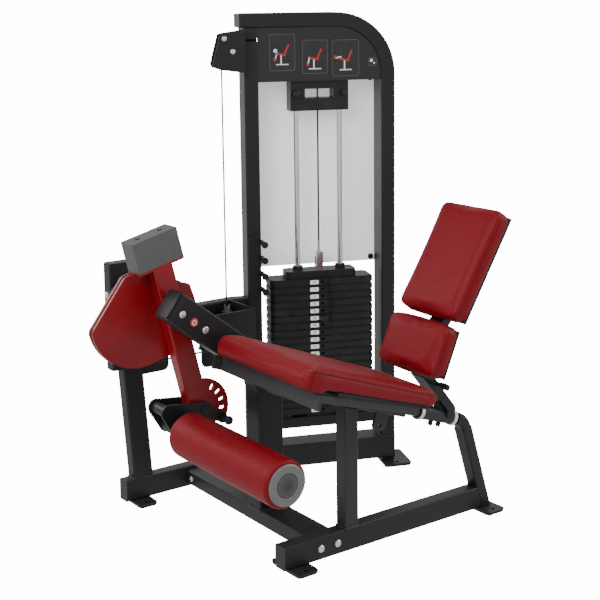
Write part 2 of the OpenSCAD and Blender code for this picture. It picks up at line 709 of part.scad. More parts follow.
// Frame of a pad: y square to the pad towards its back, z up its face
module in_pad(foot, lean) {
  translate([0, foot[0], foot[1]]) rotate([-lean, 0, 0]) children();
}
pad_corner = 36;
module pad_body(h, t) {
  r = 16;
  intersection() {
    side_plate(-back_w / 2, back_w / 2) union() {
      translate([r, 0]) square([t - r, h]);
      translate([0, r]) square([r + 1, h - 2 * r]);
      for (z = [r, h - r]) translate([r, z]) circle(r);
    }
    translate([0, t + 1, h / 2]) rotate([90, 0, 0]) linear_extrude(t + 2)
      section(back_w - 0.5, h + 0.5, pad_corner);
  }
}
module upper_pad() color("#a52d37") in_pad(upper_foot, back_lean[1]) pad_body(upper_h, back_t);
module lower_pad() color("#a52d37") in_pad(lower_foot, back_lean[0]) pad_body(lower_h, back_t);
module back_boards() color("#1c1c1c") {
  in_pad(upper_foot, back_lean[1]) translate([-back_w / 2 + 10, back_t, 10])
    cube([back_w - 20, board_t, upper_h - 20]);
  in_pad(lower_foot, back_lean[0]) translate([-back_w / 2 + 10, back_t, 10])
    cube([back_w - 20, board_t, lower_h - 20]);
}
spine_t = 30;
spine_w = 60;
function pad_point(foot, lean, y, z) = [foot[0] + y * cos(lean) + z * sin(lean),
  foot[1] - y * sin(lean) + z * cos(lean)];
back_y = back_t + board_t + 0.4;
spine_top = pad_point(upper_foot, back_lean[1], back_y + spine_t / 2, upper_h * 0.62);
spine_up = pad_point(upper_foot, back_lean[1], back_y + spine_t / 2, 8);
spine_low = pad_point(lower_foot, back_lean[0], back_y + spine_t / 2, lower_h - 20);
spine_foot = pad_point(lower_foot, back_lean[0], back_y + spine_t / 2, 6);
spine_base = slide_point(sleeve_s[1] - 40, sleeve_d / 2 + 6);
module back_carriage() color("#2b2c2e") difference() {
  union() {
    in_seat() translate([0, sleeve_s[0], 0]) rotate([-90, 0, 0]) {
      cylinder(d = sleeve_d, h = sleeve_s[1] - sleeve_s[0]);
      // slide rings at the sleeve's ends
      for (z = [0, sleeve_s[1] - sleeve_s[0] - 12]) translate([0, 0, z]) cylinder(d = sleeve_d + 7, h = 12);
    }
    // latch block with its bolt, on top of the sleeve, and two screws below
    in_seat() translate([-14, sleeve_s[0] + 80, 10]) cube([28, 44, 34]);
    in_seat() translate([0, sleeve_s[0] + 100, 43]) cylinder(d = 20, h = 14, $fn = 6);
    for (y = [70, 105]) in_seat() translate([0, sleeve_s[0] + y, -sleeve_d / 2 - 14])
      cylinder(d = 16, h = 20);
    side_plate(-spine_w / 2, spine_w / 2) union() {
      flat_bar(spine_top, spine_up, spine_t / 2);
      flat_bar(spine_up, spine_low, spine_t / 2);
      flat_bar(spine_low, spine_foot, spine_t / 2);
      flat_bar(spine_foot, spine_base, spine_t / 2);
      flat_bar(spine_base, slide_point(sleeve_s[1] - 40, 12), spine_t / 2);
    }
  }
  in_seat() translate([0, sleeve_s[0] - 10, 0]) rotate([-90, 0, 0])
    cylinder(d = slide_d + 2 * run_fit, h = sleeve_s[1] - sleeve_s[0] + 80);
}
// The grip hangs behind the pivot, clear of the seat when the back slides forward
grip_at = [38, -34];
module adjust_handle() color("#3c3f40") translate([0, spine_foot[0], spine_foot[1]]) {
  rod_x(24, spine_w / 2 + 0.4, spine_w / 2 + 8);
  side_plate(spine_w / 2 + 2, spine_w / 2 + 7) link([0, 0], grip_at, 8);
  translate([0, grip_at[0], grip_at[1]]) rod_x(10, spine_w / 2 + 2, spine_w / 2 + 46);
  translate([spine_w / 2 + 20, grip_at[0], grip_at[1]]) rotate([0, 90, 0]) rotate_extrude() polygon([
    [0, 0], [8, 0], [10, 3], [11, 20], [9, 38], [5, 42], [0, 42]]);
}

// ---- tower ----

beam_u = [-tower_in - tower_w, 0];
top_z0 = tower_h - tower_w;
module tower_base_rail() color("#242325") in_tower() translate([0, tower_d / 2, (base_z + base_top) / 2])
  tube_x(tower_d, base_h, tower_left, tower_w);
module tower_upright() color("#2a292b") in_tower() difference() {
  translate([tower_left + tower_w / 2, tower_d / 2, 0]) tube_z(tower_w, tower_d, base_top, top_z0);
  // hole for the cable's top run
  translate([tower_left - 1, cable_at(tower_left + tower_w / 2), top_run_z]) rotate([0, 90, 0])
    cylinder(d = 24, h = tower_w + 2);
}
module tower_bent_tube() color("#2a292b") in_tower() {
  bend_z = tower_h - tower_bend_r;
  mid_r = tower_bend_r - tower_w / 2;
  translate([tower_w / 2, tower_d / 2, 0]) tube_z(tower_w, tower_d, base_top, bend_z);
  translate([tower_w - tower_bend_r, tower_d / 2, bend_z]) rotate([90, 0, 0])
    rotate_extrude(angle = 90) translate([mid_r, 0]) section(tower_w, tower_d);
  translate([0, tower_d / 2, tower_h - tower_w / 2])
    tube_x(tower_d, tower_w, tower_left, tower_w - tower_bend_r);
}
stack_beam = [165, 205];
module stack_base_beam() color("#242325") in_tower()
  translate([0, tower_d / 2, (stack_beam[0] + stack_beam[1]) / 2])
  tube_x(80, stack_beam[1] - stack_beam[0], -tower_in, 0);
mid_u = -tower_in / 2;
rod_top = tower_h - 210;
stack_top = stack_z + (resting_n + lifted_n) * plate_pitch;
placard_z = tower_h - 235;
module placard() color("#181819") in_tower() tower_plate(8, 12) difference() {
  translate([-tower_in, placard_z]) square([tower_in, top_z0 - placard_z]);
  difference() {
    translate([tower_w - tower_bend_r, tower_h - tower_bend_r]) square([tower_bend_r, tower_bend_r]);
    translate([tower_w - tower_bend_r, tower_h - tower_bend_r]) circle(tower_bend_r - tower_w, $fn = 96);
  }
}
// Panel on the back of the uprights, behind the travel of the plates
panel_t = 4;
panel_lap = 14;
panel_z = [stack_top + 34, rod_top - 10];
clip_u = [-tower_in + 12, -12];
clip_z = [panel_z[0] + 14, panel_z[1] - 14];
module rear_panel() color("#e4e4e6") in_tower() tower_plate(tower_d + seam, tower_d + seam + panel_t)
  difference() {
  translate([-tower_in / 2, (panel_z[0] + panel_z[1]) / 2])
    section(tower_in + 2 * panel_lap, panel_z[1] - panel_z[0], 10);
  for (u = clip_u, z = clip_z) translate([u, z]) circle(d = 9);
}
module panel_clips() in_tower() for (u = clip_u, z = clip_z) translate([u, tower_d, z]) {
  rotate([90, 0, 0]) cylinder(d1 = 22, d2 = 17, h = 7);
  rotate([-90, 0, 0]) translate([0, 0, -e]) cylinder(d = 8.8, h = panel_t + 2);
}
// Hook plate on the left upright's front
rack_u = tower_left + tower_w / 2;
module accessory_rack() color("#1d1d1e") in_tower() {
  tower_plate(-5, 0) union() {
    link([rack_u, 690], [rack_u, 865], 22);
    for (k = [0:3]) link([rack_u, 694 + 56 * k], [rack_u + 26, 690 + 56 * k], 9);
  }
  for (k = [0:3]) translate([rack_u + 26, -5 + e, 690 + 56 * k]) rotate([90, 0, 0]) {
    cylinder(d = 16, h = 44);
    translate([0, 0, 44 - e]) cylinder(d1 = 16, d2 = 24, h = 6);
  }
}

// ---- cable guides at the top ----

top_run_z = top_pulley_z + pulley_r;
stack_depth = tower_d / 2;
// The top run slants from the stack's middle to the drop in front of the upright
skew = atan2(stack_depth - cable_depth, mid_u - cable_u);
over_at = [mid_u, stack_depth] - pulley_r * [cos(skew), sin(skew)];
front_at = [cable_u, cable_depth] + pulley_r * [cos(skew), sin(skew)];
function cable_at(u) = cable_depth + (u - cable_u) * tan(skew);
module top_hanger() color("#2a292b") in_tower() {
  difference() {
    translate([-tower_in, 20, rod_top]) cube([tower_in - 2, tower_d - 40, 12]);
    translate([mid_u, stack_depth, rod_top - 1]) cylinder(d = 30, h = 20);
  }
  translate([over_at[0], over_at[1], 0]) rotate(skew) for (s = [-1, 1])
    translate([-20, s * 15 - 3, top_pulley_z - 20]) cube([40, 6, top_z0 - top_pulley_z + 20 - seam]);
  translate([over_at[0], over_at[1], top_pulley_z]) rotate([90, 0, skew])
    cylinder(d = 12, h = 44, center = true);
}
module over_stack_pulley() color("#4a4a4c") in_tower()
  translate([over_at[0], over_at[1], top_pulley_z]) rotate([90, 0, skew]) pulley(pulley_r, 12);
module front_pulley() color("#4a4a4c") in_tower()
  translate([front_at[0], front_at[1], top_pulley_z]) rotate([90, 0, skew]) pulley(pulley_r, 12);
// Housing cheeks on the outer side of the left upright
module cheek() {
  // from the upright outwards, round the pulley's far side
  translate([tower_left, top_pulley_z]) polygon([
    [0, 72], [-80, 61], [-87, 56], [-113, -42], [-108, -53], [-87, -61], [0, -73]]);
}
module top_housing() color("#232324") in_tower() {
  for (d = [-26, 26]) tower_plate(d - 2.5, d + 2.5) cheek();
  tower_plate(-24, 24) union() {
    for (z = [-71, 46]) translate([tower_left - 6, top_pulley_z + z]) square([6, 25]);
  }
  translate([front_at[0], front_at[1], top_pulley_z]) rotate([90, 0, skew])
    cylinder(d = 12, h = 50, center = true);
}

// ---- weight stack ----

rod_u = [mid_u - rod_spacing / 2, mid_u + rod_spacing / 2];
stem_d = 25;
pin_d = 9;
pin_u = mid_u;
pin_z = stack_z + (resting_n + 0.5) * plate_pitch;
module guide_rods() color("#c8c9cc") in_tower() for (u = rod_u) translate([u, stack_depth, stack_beam[1]])
  cylinder(d = rod_d, h = rod_top - stack_beam[1]);
module stack_bumpers() color("#151515") in_tower() for (u = rod_u)
  translate([u, stack_depth, stack_beam[1]])
  difference() {
    cylinder(d = 52, h = stack_z - stack_beam[1] - plate_gap);
    translate([0, 0, -1]) cylinder(d = rod_d, h = 60);
  }
// One weight plate with chamfered edges, rod bores and its pin hole
module weight_plate(t) {
  c = 3;
  difference() {
    translate([mid_u, stack_depth, 0]) {
      translate([0, 0, c]) linear_extrude(t - 2 * c) section_cut(plate_w, plate_d, 12);
      for (z = [0, t - c]) translate([0, 0, z]) linear_extrude(c)
        section_cut(plate_w - 2 * c, plate_d - 2 * c, 12);
    }
    for (u = rod_u) translate([u, stack_depth, -1]) cylinder(d = rod_d + 2 * slide_fit, h = t + 2);
    translate([mid_u, stack_depth, -1]) cylinder(d = stem_d + 2 * slide_fit, h = t + 2);
    translate([pin_u, stack_depth, t / 2]) rotate([90, 0, 0])
      cylinder(d = pin_d + 2 * slide_fit, h = tower_d);
  }
}
// Rectangle with its corners cut off
module section_cut(w, d, c) {
  polygon([[-w / 2 + c, -d / 2], [w / 2 - c, -d / 2], [w / 2, -d / 2 + c], [w / 2, d / 2 - c],
           [w / 2 - c, d / 2], [-w / 2 + c, d / 2], [-w / 2, d / 2 - c], [-w / 2, -d / 2 + c]]);
}
module resting_plates() color("#27282a") in_tower() for (k = [0:resting_n - 1])
  translate([0, 0, stack_z + k * plate_pitch]) weight_plate(plate_pitch - plate_gap);
module lifted_plates() color("#27282a") in_tower() for (k = [0:lifted_n - 1])
  translate([0, 0, stack_z + (resting_n + k) * plate_pitch]) weight_plate(plate_pitch - plate_gap);
head_w = 255;
head_t = 26;
module head_plate() color("#202123") in_tower() translate([0, 0, stack_top]) {
  difference() {
    translate([mid_u, stack_depth, 0]) linear_extrude(head_t) section_cut(head_w, 76, 10);
    for (u = rod_u) translate([u, stack_depth, -1]) cylinder(d = rod_d + 2 * slide_fit, h = head_t + 2);
    translate([mid_u, stack_depth, -1]) cylinder(d = stem_d, h = head_t + 2);
  }
  // bushing collars round the rods
  for (u = rod_u) translate([u, stack_depth, head_t - e]) difference() {
    cylinder(d = rod_d + 16, h = 14);
    translate([0, 0, -1]) cylinder(d = rod_d + 2 * slide_fit, h = 20);
  }
}
yoke_top = stack_top + head_t + 62;
cable_foot = yoke_top + 42;
module selector_stem() color("#b9bbbe") in_tower() translate([mid_u, stack_depth, 0]) {
  difference() {
    translate([0, 0, stack_z + 4]) cylinder(d = stem_d, h = stack_top + head_t - stack_z - 3);
    for (k = [0:resting_n + lifted_n - 1]) translate([0, 0, stack_z + (k + 0.5) * plate_pitch])
      rotate([90, 0, 0])
      cylinder(d = pin_d + 2 * slide_fit, h = 60, center = true);
  }
  // yoke block and the threaded end of the cable
  difference() {
    translate([-12, -15, stack_top + head_t + seam]) cube([24, 30, 62]);
    translate([-13, -9, stack_top + head_t + 14]) cube([26, 18, 30]);
  }
  translate([0, 0, yoke_top - e]) cylinder(d = 14, h = 8);
  translate([0, 0, yoke_top]) cylinder(d = 10, h = cable_foot - yoke_top);
}
module stack_cable() color("#171717") in_tower() translate([mid_u, stack_depth, cable_foot])
  cylinder(d = cable_d, h = top_pulley_z - cable_foot - 0.5);
module selector_pin() color("#c22a30") in_tower() translate([pin_u, 0, pin_z]) rotate([90, 0, 0]) {
  translate([0, 0, -stack_depth - stem_d / 2 + 1]) cylinder(d = pin_d, h = stack_depth + stem_d / 2 + 1);
  translate([0, 0, 0.4]) rotate_extrude()
    polygon([[0, 0], [8, 0], [8, 10], [13, 14], [13, 34], [10, 38], [0, 38]]);
}

// Cord that keeps the pin with the stack, hanging in front of the plates
lanyard_d = 4;
module lanyard() color("#121212") in_tower() translate([mid_u, 0, pin_z]) cord([
  [24, 9.4, 160], [24, 4, 161], [24.5, -1, 158], [25, -4, 152], [25.5, -5, 143], [27, -5, 111],
    [30, -5, 71],
  [32, -5, 31], [32.5, -5, 16], [31, -5, 3], [27, -5, -8], [21, -5, -13], [15.5, -5, -11], [12, -5, -6],
    [10.6, -5, 0]
], lanyard_d / 2);

// ---- add-on weights parked above the stack ----

addon_z = rod_top - 129;
addon_d = 60;
addon_gap = 0.4;
knob_z = addon_z + 60;
knob_l = rod_u[0] - 8;
knob_r = rod_u[1] + 8;
addon_front = stack_depth - addon_d / 2;
module addon_bar(z0, z1, knob_u) {
  difference() {
    union() {
      translate([rod_u[0] - 26, addon_front, z0]) cube([rod_u[1] - rod_u[0] + 52, addon_d, z1 - z0]);
      children();
    }
    for (u = rod_u) translate([u, stack_depth, z0 - 100]) cylinder(d = rod_d + 2 * slide_fit, h = 300);
    translate([mid_u, stack_depth, z0 - 100]) cylinder(d = cable_d + 18, h = 300);
    // socket of the knob's pin
    translate([knob_u, addon_front + 18, knob_z]) rotate([90, 0, 0]) cylinder(d = 8 + 2 * run_fit, h = 30);
  }
}
module addon_lower() color("#2b2c2e") in_tower() addon_bar(addon_z, addon_z + 43, knob_r)
  translate([rod_u[1] - 26, addon_front, addon_z + 40]) cube([52, addon_d, 36 - addon_gap]);
module addon_upper() color("#2b2c2e") in_tower() addon_bar(addon_z + 76, addon_z + 115, knob_l)
  translate([rod_u[0] - 26, addon_front, addon_z + 43 + addon_gap]) cube([52, addon_d, 36]);
module addon_knob(u) {
  translate([u, addon_front, knob_z]) rotate([90, 0, 0]) {
    translate([0, 0, -16]) cylinder(d = 8, h = 17);
    translate([0, 0, 0.3]) rotate_extrude()
      polygon([[0, 0], [6, 0], [6, 8], [11, 12], [11, 24], [8, 27], [0, 27]]);
  }
}
module lower_knob() color("#161616") in_tower() addon_knob(knob_r);
module upper_knob() color("#161616") in_tower() addon_knob(knob_l);

// ---- cable runs that stay in place ----

// Quarter wrap in an upright plane that points along dir in plan
function wrap(at, z, dir, from, to) = [for (k = [0:6])
  let (a = from + (to - from) * k / 6)
  [at[0] + pulley_r * cos(a) * cos(dir), at[1] + pulley_r * cos(a) * sin(dir), z + pulley_r * sin(a)]];
// From the stack over both upper pulleys, down to the lower one, round the guide pulley, to the cam
module frame_cable() color("#171717") cord(concat(
  wrap(to_tower(over_at[0], over_at[1]), top_pulley_z, tower_turn + skew, 0, 90),
  wrap(to_tower(front_at[0], front_at[1]), top_pulley_z, tower_turn + skew, 90, 180),
  wrap(lower_c, lower_z, heading, 180, 270),
  [for (k = [0:6]) let (a = (heading + 90) * (1 - k / 6))
    [guide_c[0] + pulley_r * cos(a), guide_c[1] + pulley_r * sin(a), run_z]],
  [[groove_x, cam_touch_y, run_z]]
), cable_d / 2, 10);

// ---- caps and bolts ----

module end_caps() color("#161616") {
  panel_clips();
  translate([0, 0, foot_top + rail_h / 2])
    tube_y(tube_w + 1, rail_h + 1, -near_rail_front - 5, -near_rail_front);
  translate([left_x, 0, foot_top + rail_h / 2])
    tube_y(tube_w + 1, rail_h + 1, -left_rail_front - 5, -left_rail_front);
  translate([leg_xm, arm_end[0], arm_end[1]]) rotate([arm_turn, 0, 0]) translate([0, 0, seam]) {
    tube_z(leg_w, leg_d, 0, 20);
    tube_z(leg_w - 8, leg_d - 8, 20 - e, 26);
  }
  in_tower() translate([0, tower_d / 2, tower_h - tower_w / 2])
    tube_x(tower_d - 4, tower_w - 4, tower_left - 14, tower_left);
  translate([left_x, (box_front + box_rear) / 2, 0])
    tube_z(tube_w - 3, box_rear - box_front - 1, box_top, box_top + 4);
}
module frame_bolts() color("#c9cacc") {
  for (y = [cross_y + 18, cross_y + cross_w - 18])
    translate([tube_w / 2, y, foot_top + rail_h / 2]) rotate([0, 90, 0]) button_screw(12);
  translate([left_x + tube_w / 2 + 30, cross_y, foot_top + rail_h / 2]) rotate([90, 0, 0]) button_screw(10);
  // two screws of the bearing behind the seat arm
  for (s = [-1, 1]) translate([leg_x + leg_w, pivot_y + 50 * s * cos(arm_rise),
    pivot_z - 50 * s * sin(arm_rise)])
    rotate([0, 90, 0]) button_screw(12);
  translate([left_x, box_front, pivot_z]) rotate([90, 0, 0]) button_screw(12);
  in_tower() for (p = [[tower_left - 72, top_pulley_z + 44], [front_at[0], top_pulley_z]])
    translate([p[0], -28.5, p[1]]) rotate([90, 0, 0])
    button_screw(9);
}

near_rail();
cross_rail();
left_rail();
foot_plates();
rubber_feet();
near_post();
seat_leg();
front_post();
bearing_box();
upper_beam();
pulley_bracket();
rear_leg();
seat_tube();
seat_cross_rail();
seat_board();
seat_cushion();
pivot_bearings();
tower_base_rail();
tower_upright();
tower_bent_tube();
stack_base_beam();
end_caps();
placard();
rear_panel();
accessory_rack();
top_hanger();
guide_rods();
stack_bumpers();
resting_plates();
top_housing();
frame_bolts();
frame_cable();
head_plate();
lifted_plates();
selector_stem();
lanyard();
stack_cable();
selector_pin();
addon_lower();
addon_upper();
lower_knob();
upper_knob();
lever_arm();
cam();
counterweight();
pivot_shaft();
cam_cable();
roller_bracket();
pull_pin();
foam_roller();
roller_core();
back_carriage();
back_boards();
upper_pad();
lower_pad();
adjust_handle();
over_stack_pulley();
front_pulley();
lower_pulley();
guide_pulley();
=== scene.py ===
from math import cos, pi, radians, sin

import bmesh
import bpy
from mathutils import Matrix, Vector


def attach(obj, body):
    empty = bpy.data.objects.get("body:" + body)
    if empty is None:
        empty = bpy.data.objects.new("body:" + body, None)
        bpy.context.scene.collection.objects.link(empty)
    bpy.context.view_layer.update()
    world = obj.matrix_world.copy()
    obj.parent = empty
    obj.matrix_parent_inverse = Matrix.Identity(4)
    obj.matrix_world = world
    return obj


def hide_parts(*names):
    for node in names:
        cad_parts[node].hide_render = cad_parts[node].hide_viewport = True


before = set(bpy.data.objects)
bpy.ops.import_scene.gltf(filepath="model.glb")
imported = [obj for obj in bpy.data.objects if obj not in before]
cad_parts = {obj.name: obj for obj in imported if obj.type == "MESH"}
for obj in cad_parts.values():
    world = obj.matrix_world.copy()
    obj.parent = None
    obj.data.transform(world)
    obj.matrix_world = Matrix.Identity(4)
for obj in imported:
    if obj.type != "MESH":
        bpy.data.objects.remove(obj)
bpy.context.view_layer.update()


# Floor rails, posts and beams. They are square steel tubes, bent and welded, and powder
# coated satin black. The coat is faintly pebbled, and its upper faces are painted paler: a little dust and
# painted light from above.
class Value:
    """A number or colour inside a finish, with ordinary arithmetic."""

    def __init__(self, finish, socket):
        self.finish = finish
        self.socket = socket

    def maths(self, operation, first, second=0.0):
        return self.finish.node("ShaderNodeMath", {"operation": operation}, {0: first, 1: second})

    def __add__(self, other):
        return self.maths("ADD", self, other)

    def __radd__(self, other):
        return self.maths("ADD", other, self)

    def __sub__(self, other):
        return self.maths("SUBTRACT", self, other)

    def __rsub__(self, other):
        return self.maths("SUBTRACT", other, self)

    def __mul__(self, other):
        return self.maths("MULTIPLY", self, other)

    def __rmul__(self, other):
        return self.maths("MULTIPLY", other, self)

    def __pow__(self, other):
        return self.maths("POWER", self, other)

    def __lt__(self, other):
        return self.maths("LESS_THAN", self, other)

    def __gt__(self, other):
        return self.maths("GREATER_THAN", self, other)

    def size(self):
        return self.maths("ABSOLUTE", self)

    def fade(self, low, high):
        settings = {"interpolation_type": "SMOOTHSTEP"}
        return self.finish.node("ShaderNodeMapRange", settings, {"Value": self, 1: low, 2: high})


class Finish:
    """A material round one Principled shader. Steady values go straight on its sockets."""

    def __init__(self, name, colour, **steady):
        self.material = bpy.data.materials.new(name)
        self.material.use_nodes = True
        self.tree = self.material.node_tree
        self.shader = self.tree.nodes["Principled BSDF"]
        self.colour = (*colour, 1.0)
        self.shader.inputs["Base Color"].default_value = self.colour
        self.material.diffuse_color = self.colour
        for socket, value in steady.items():
            self.shader.inputs[socket.replace("_", " ")].default_value = value
        self.place = self.node("ShaderNodeTexCoord", {}, {}, "Object")

    def node(self, kind, settings, sockets, out=0):
        made = self.tree.nodes.new(kind)
        for name, value in settings.items():
            setattr(made, name, value)
        for name, value in sockets.items():
            self.join(value, made.inputs[name])
        return Value(self, made.outputs[out])

    def join(self, value, socket):
        if isinstance(value, Value):
            self.tree.links.new(value.socket, socket)
        else:
            socket.default_value = value

    def feed(self, name, value):
        self.join(value, self.shader.inputs[name])

    def axis(self, name):
        return self.node("ShaderNodeSeparateXYZ", {}, {0: self.place}, name)

    def noise(self, scale, detail=2.0, rough=0.5):
        sockets = {"Vector": self.place, "Scale": scale, "Detail": detail, "Roughness": rough}
        return self.node("ShaderNodeTexNoise", {}, sockets)

    def cells(self, scale, feature="F1"):
        settings = {"feature": feature}
        return self.node("ShaderNodeTexVoronoi", settings, {"Vector": self.place, "Scale": scale})

    def between(self, mask, first, second):
        return self.node("ShaderNodeMix", {"data_type": "RGBA"}, {0: mask, 6: first, 7: second}, 2)

    def shade(self, factor):
        return tuple(min(1.0, c * factor) for c in self.colour[:3]) + (1.0,)

    def bump(self, height, depth, strength=1.0):
        sockets = {"Height": height, "Distance": depth, "Strength": strength}
        self.feed("Normal", self.node("ShaderNodeBump", {}, sockets))


def upward(finish):
    """How far the surface faces up, from 0 to 1."""
    normal = finish.node("ShaderNodeNewGeometry", {}, {}, "Normal")
    return finish.node("ShaderNodeSeparateXYZ", {}, {0: normal}, "Z").fade(0.55, 0.98)


def powder_coat(name, colour, rough, dust_and_light_amount):
    finish = Finish(name, colour, Specular_IOR_Level=0.3)
    drift = finish.noise(6.0, 4.0, 0.6)
    # Upward faces are painted paler in drifting patches, both as dust and as painted light from above.
    dust_and_top_light = upward(finish) * (drift * 0.7 + 0.3) * dust_and_light_amount
    finish.feed("Base Color", finish.between(dust_and_top_light, finish.shade(1.0), (0.07, 0.068, 0.066, 1.0)))
    finish.feed("Roughness", rough + drift * 0.12 + dust_and_top_light * 0.4)
    finish.bump(finish.noise(900.0, 2.0), 0.00022, 0.35)
    return finish


def dress(finish, *nodes):
    for node in nodes:
        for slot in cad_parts[node].material_slots:
            slot.material = finish.material


coat_black = (0.0105, 0.0098, 0.0112)
coat_grey = (0.0235, 0.0240, 0.0242)
frame_black = powder_coat("frame_black_coat", coat_black, 0.34, 0.22)
dress(
    frame_black, "near_rail", "cross_rail", "left_rail", "foot_plates", "seat_leg", "front_post",
    "bearing_box", "upper_beam", "pulley_bracket", "rear_leg", "tower_base_rail", "tower_upright",
    "tower_bent_tube", "stack_base_beam", "accessory_rack", "top_hanger", "top_housing",
    "roller_bracket",
)


# Weld beads. A rippled fillet of weld runs round the foot of each post where it stands on
# its rail, and the powder coat covers it.
def piece(name, data, *finishes, smooth=False):
    """A linked object made of a mesh, or of a bmesh, which is freed."""
    mesh = data
    if isinstance(data, bmesh.types.BMesh):
        mesh = bpy.data.meshes.new(name)
        data.to_mesh(mesh)
        data.free()
    for finish in finishes:
        mesh.materials.append(finish.material)
    if smooth:
        for face in mesh.polygons:
            face.use_smooth = True
    made = bpy.data.objects.new(name, mesh)
    bpy.context.collection.objects.link(made)
    return made


def weld_bead(name, place, width, depth, body="frame"):
    points = []
    corner = 0.006
    for side in range(4):
        turn = side * pi / 2
        for step in range(5):
            angle = turn + step * pi / 8
            across = (width / 2 - corner) * (1 if side in (0, 3) else -1) + corner * cos(angle)
            along = (depth / 2 - corner) * (1 if side in (0, 1) else -1) + corner * sin(angle)
            points.append(place @ Vector((across, along, 0.0)))
    line = bpy.data.curves.new(name, "CURVE")
    line.dimensions = "3D"
    line.bevel_depth = 0.0034
    line.bevel_resolution = 2
    run = line.splines.new("POLY")
    run.use_cyclic_u = True
    run.points.add(len(points) - 1)
    for point, spot in zip(run.points, points):
        point.co = (*spot, 1.0)
    holder = bpy.data.objects.new(name, line)
    mesh = bpy.data.meshes.new_from_object(holder)
    bpy.data.objects.remove(holder)
    bead = piece(name, mesh, weld_coat, smooth=True)
    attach(bead, body)
    return bead


weld_coat = Finish("weld_coat", coat_black, Roughness=0.4)
weld_coat.bump(weld_coat.noise(260.0, 1.0), 0.0012, 0.9)
tower = Matrix.Translation((-0.512, 0.762, 0.0)) @ Matrix.Rotation(radians(67.9), 4, "Z")
weld_bead("weld_near_post", Matrix.Translation((0.0, 0.202, 0.086)), 0.050, 0.052)
weld_bead("weld_seat_leg", Matrix.Translation((-0.3105, 0.1085, 0.074)), 0.075, 0.095)
weld_bead("weld_front_post", Matrix.Translation((-0.761, -0.1055, 0.086)), 0.048, 0.0732)
weld_bead("weld_upright", tower @ Matrix.Translation((-0.465, 0.050, 0.106)), 0.050, 0.100)
weld_bead("weld_bent_tube", tower @ Matrix.Translation((0.025, 0.050, 0.106)), 0.050, 0.100)


# Seat post, seat tube and the flat rails under the seat. They are steel in a dark grey coat.
# The same coat is on the sleeve that slides on the seat tube, between two white nylon rings.
frame_grey = powder_coat("seat_frame_coat", coat_grey, 0.36, 0.12)
dress(frame_grey, "near_post", "seat_tube", "seat_cross_rail")
seat_y, seat_z, seat_tilt = 0.202, 0.494, 19.0


def leaned(finish, foot_y, foot_z, lean):
    """Distance along and off a slope that leans by some degrees, from its foot."""
    back = finish.axis("Y") - foot_y
    rise = finish.axis("Z") - foot_z
    turn = radians(lean)
    return back * cos(turn) - rise * sin(turn), back * sin(turn) + rise * cos(turn)


carriage = powder_coat("carriage_coat", coat_black, 0.34, 0.15)
sleeve_ends = (0.2995, 0.4605)
ring_width = 0.0128
nylon_white = (0.72, 0.72, 0.70, 1.0)
along, off = leaned(carriage, seat_y, seat_z, seat_tilt)
side = carriage.axis("X")
reach = (off * off + side * side) ** 0.5
on_sleeve = (along > sleeve_ends[0]) * (along < sleeve_ends[1]) * (reach < 0.0285)
on_ring = on_sleeve * (1.0 - (along > sleeve_ends[0] + ring_width) * (along < sleeve_ends[1] - ring_width))
sleeve = carriage.between(on_sleeve * (reach < 0.0246), carriage.shade(1.0), (*coat_grey, 1.0))
carriage.feed("Base Color", carriage.between(on_ring * (reach > 0.0244), sleeve, nylon_white))
dress(carriage, "back_carriage")


# Lever arm and cam. Both are cut and welded steel in a deep red gloss coat with a clear
# layer over it. The arm carries the toothed sector for the roller's positions.
lever_red = Finish(
    "lever_red_coat", (0.200, 0.0020, 0.0055), Coat_Weight=0.3, Coat_Roughness=0.2, Specular_IOR_Level=0.25
)
cloud = lever_red.noise(7.0, 3.0)
face = lever_red.between(cloud.fade(0.3, 0.8), lever_red.shade(0.86), lever_red.shade(1.1))
lever_red.feed("Base Color", face)
lever_red.feed("Roughness", 0.30 + cloud * 0.12)
lever_red.bump(lever_red.noise(700.0, 1.0), 0.00018, 0.3)
dress(lever_red, "lever_arm", "cam")


# Counterweight. A cast iron block on top of the lever, filled and sprayed a soft grey that
# shows the casting's slightly uneven skin.
cast_grey = Finish("counterweight_paint", (0.080, 0.080, 0.080), Specular_IOR_Level=0.3)
skin = cast_grey.noise(35.0, 5.0, 0.6)
cast_grey.feed("Base Color", cast_grey.between(skin, cast_grey.shade(0.85), cast_grey.shade(1.15)))
cast_grey.feed("Roughness", 0.45 + skin * 0.15)
cast_grey.bump(skin + cast_grey.noise(500.0, 1.0) * 0.5, 0.0005, 0.4)
dress(cast_grey, "counterweight")


# Bright parts. The guide rods and the stem are hard chromed, the shaft is ground steel and
# the screws are zinc plated.
chrome = Finish("rod_chrome", (0.76, 0.77, 0.79), Metallic=1.0)
chrome.feed("Roughness", 0.10 + chrome.noise(60.0, 3.0) * 0.08)
dress(chrome, "guide_rods", "selector_stem", "pivot_shaft")
zinc = Finish("screw_zinc", (0.70, 0.71, 0.72), Metallic=1.0)
zinc.feed("Roughness", 0.22 + zinc.noise(220.0, 2.0) * 0.15)
dress(zinc, "frame_bolts")
bearing_paint = powder_coat("bearing_paint", (0.030, 0.031, 0.033), 0.42, 0.05)
dress(bearing_paint, "pivot_bearings")


# Weight plates. They are cast iron, ground flat and painted black with a fine hammered skin.
# The chamfered edges have rubbed a little paler.
plate_paint = Finish("plate_paint", (0.0100, 0.0105, 0.0114), Specular_IOR_Level=0.3)
worn = plate_paint.noise(24.0, 5.0, 0.65).fade(0.45, 0.8)
plate_paint.feed("Base Color", plate_paint.between(worn, plate_paint.shade(0.9), plate_paint.shade(1.7)))
plate_paint.feed("Roughness", 0.40 + worn * 0.15)
plate_paint.bump(plate_paint.cells(420.0), 0.0004, 0.45)
dress(plate_paint, "resting_plates", "lifted_plates", "head_plate", "addon_lower", "addon_upper")


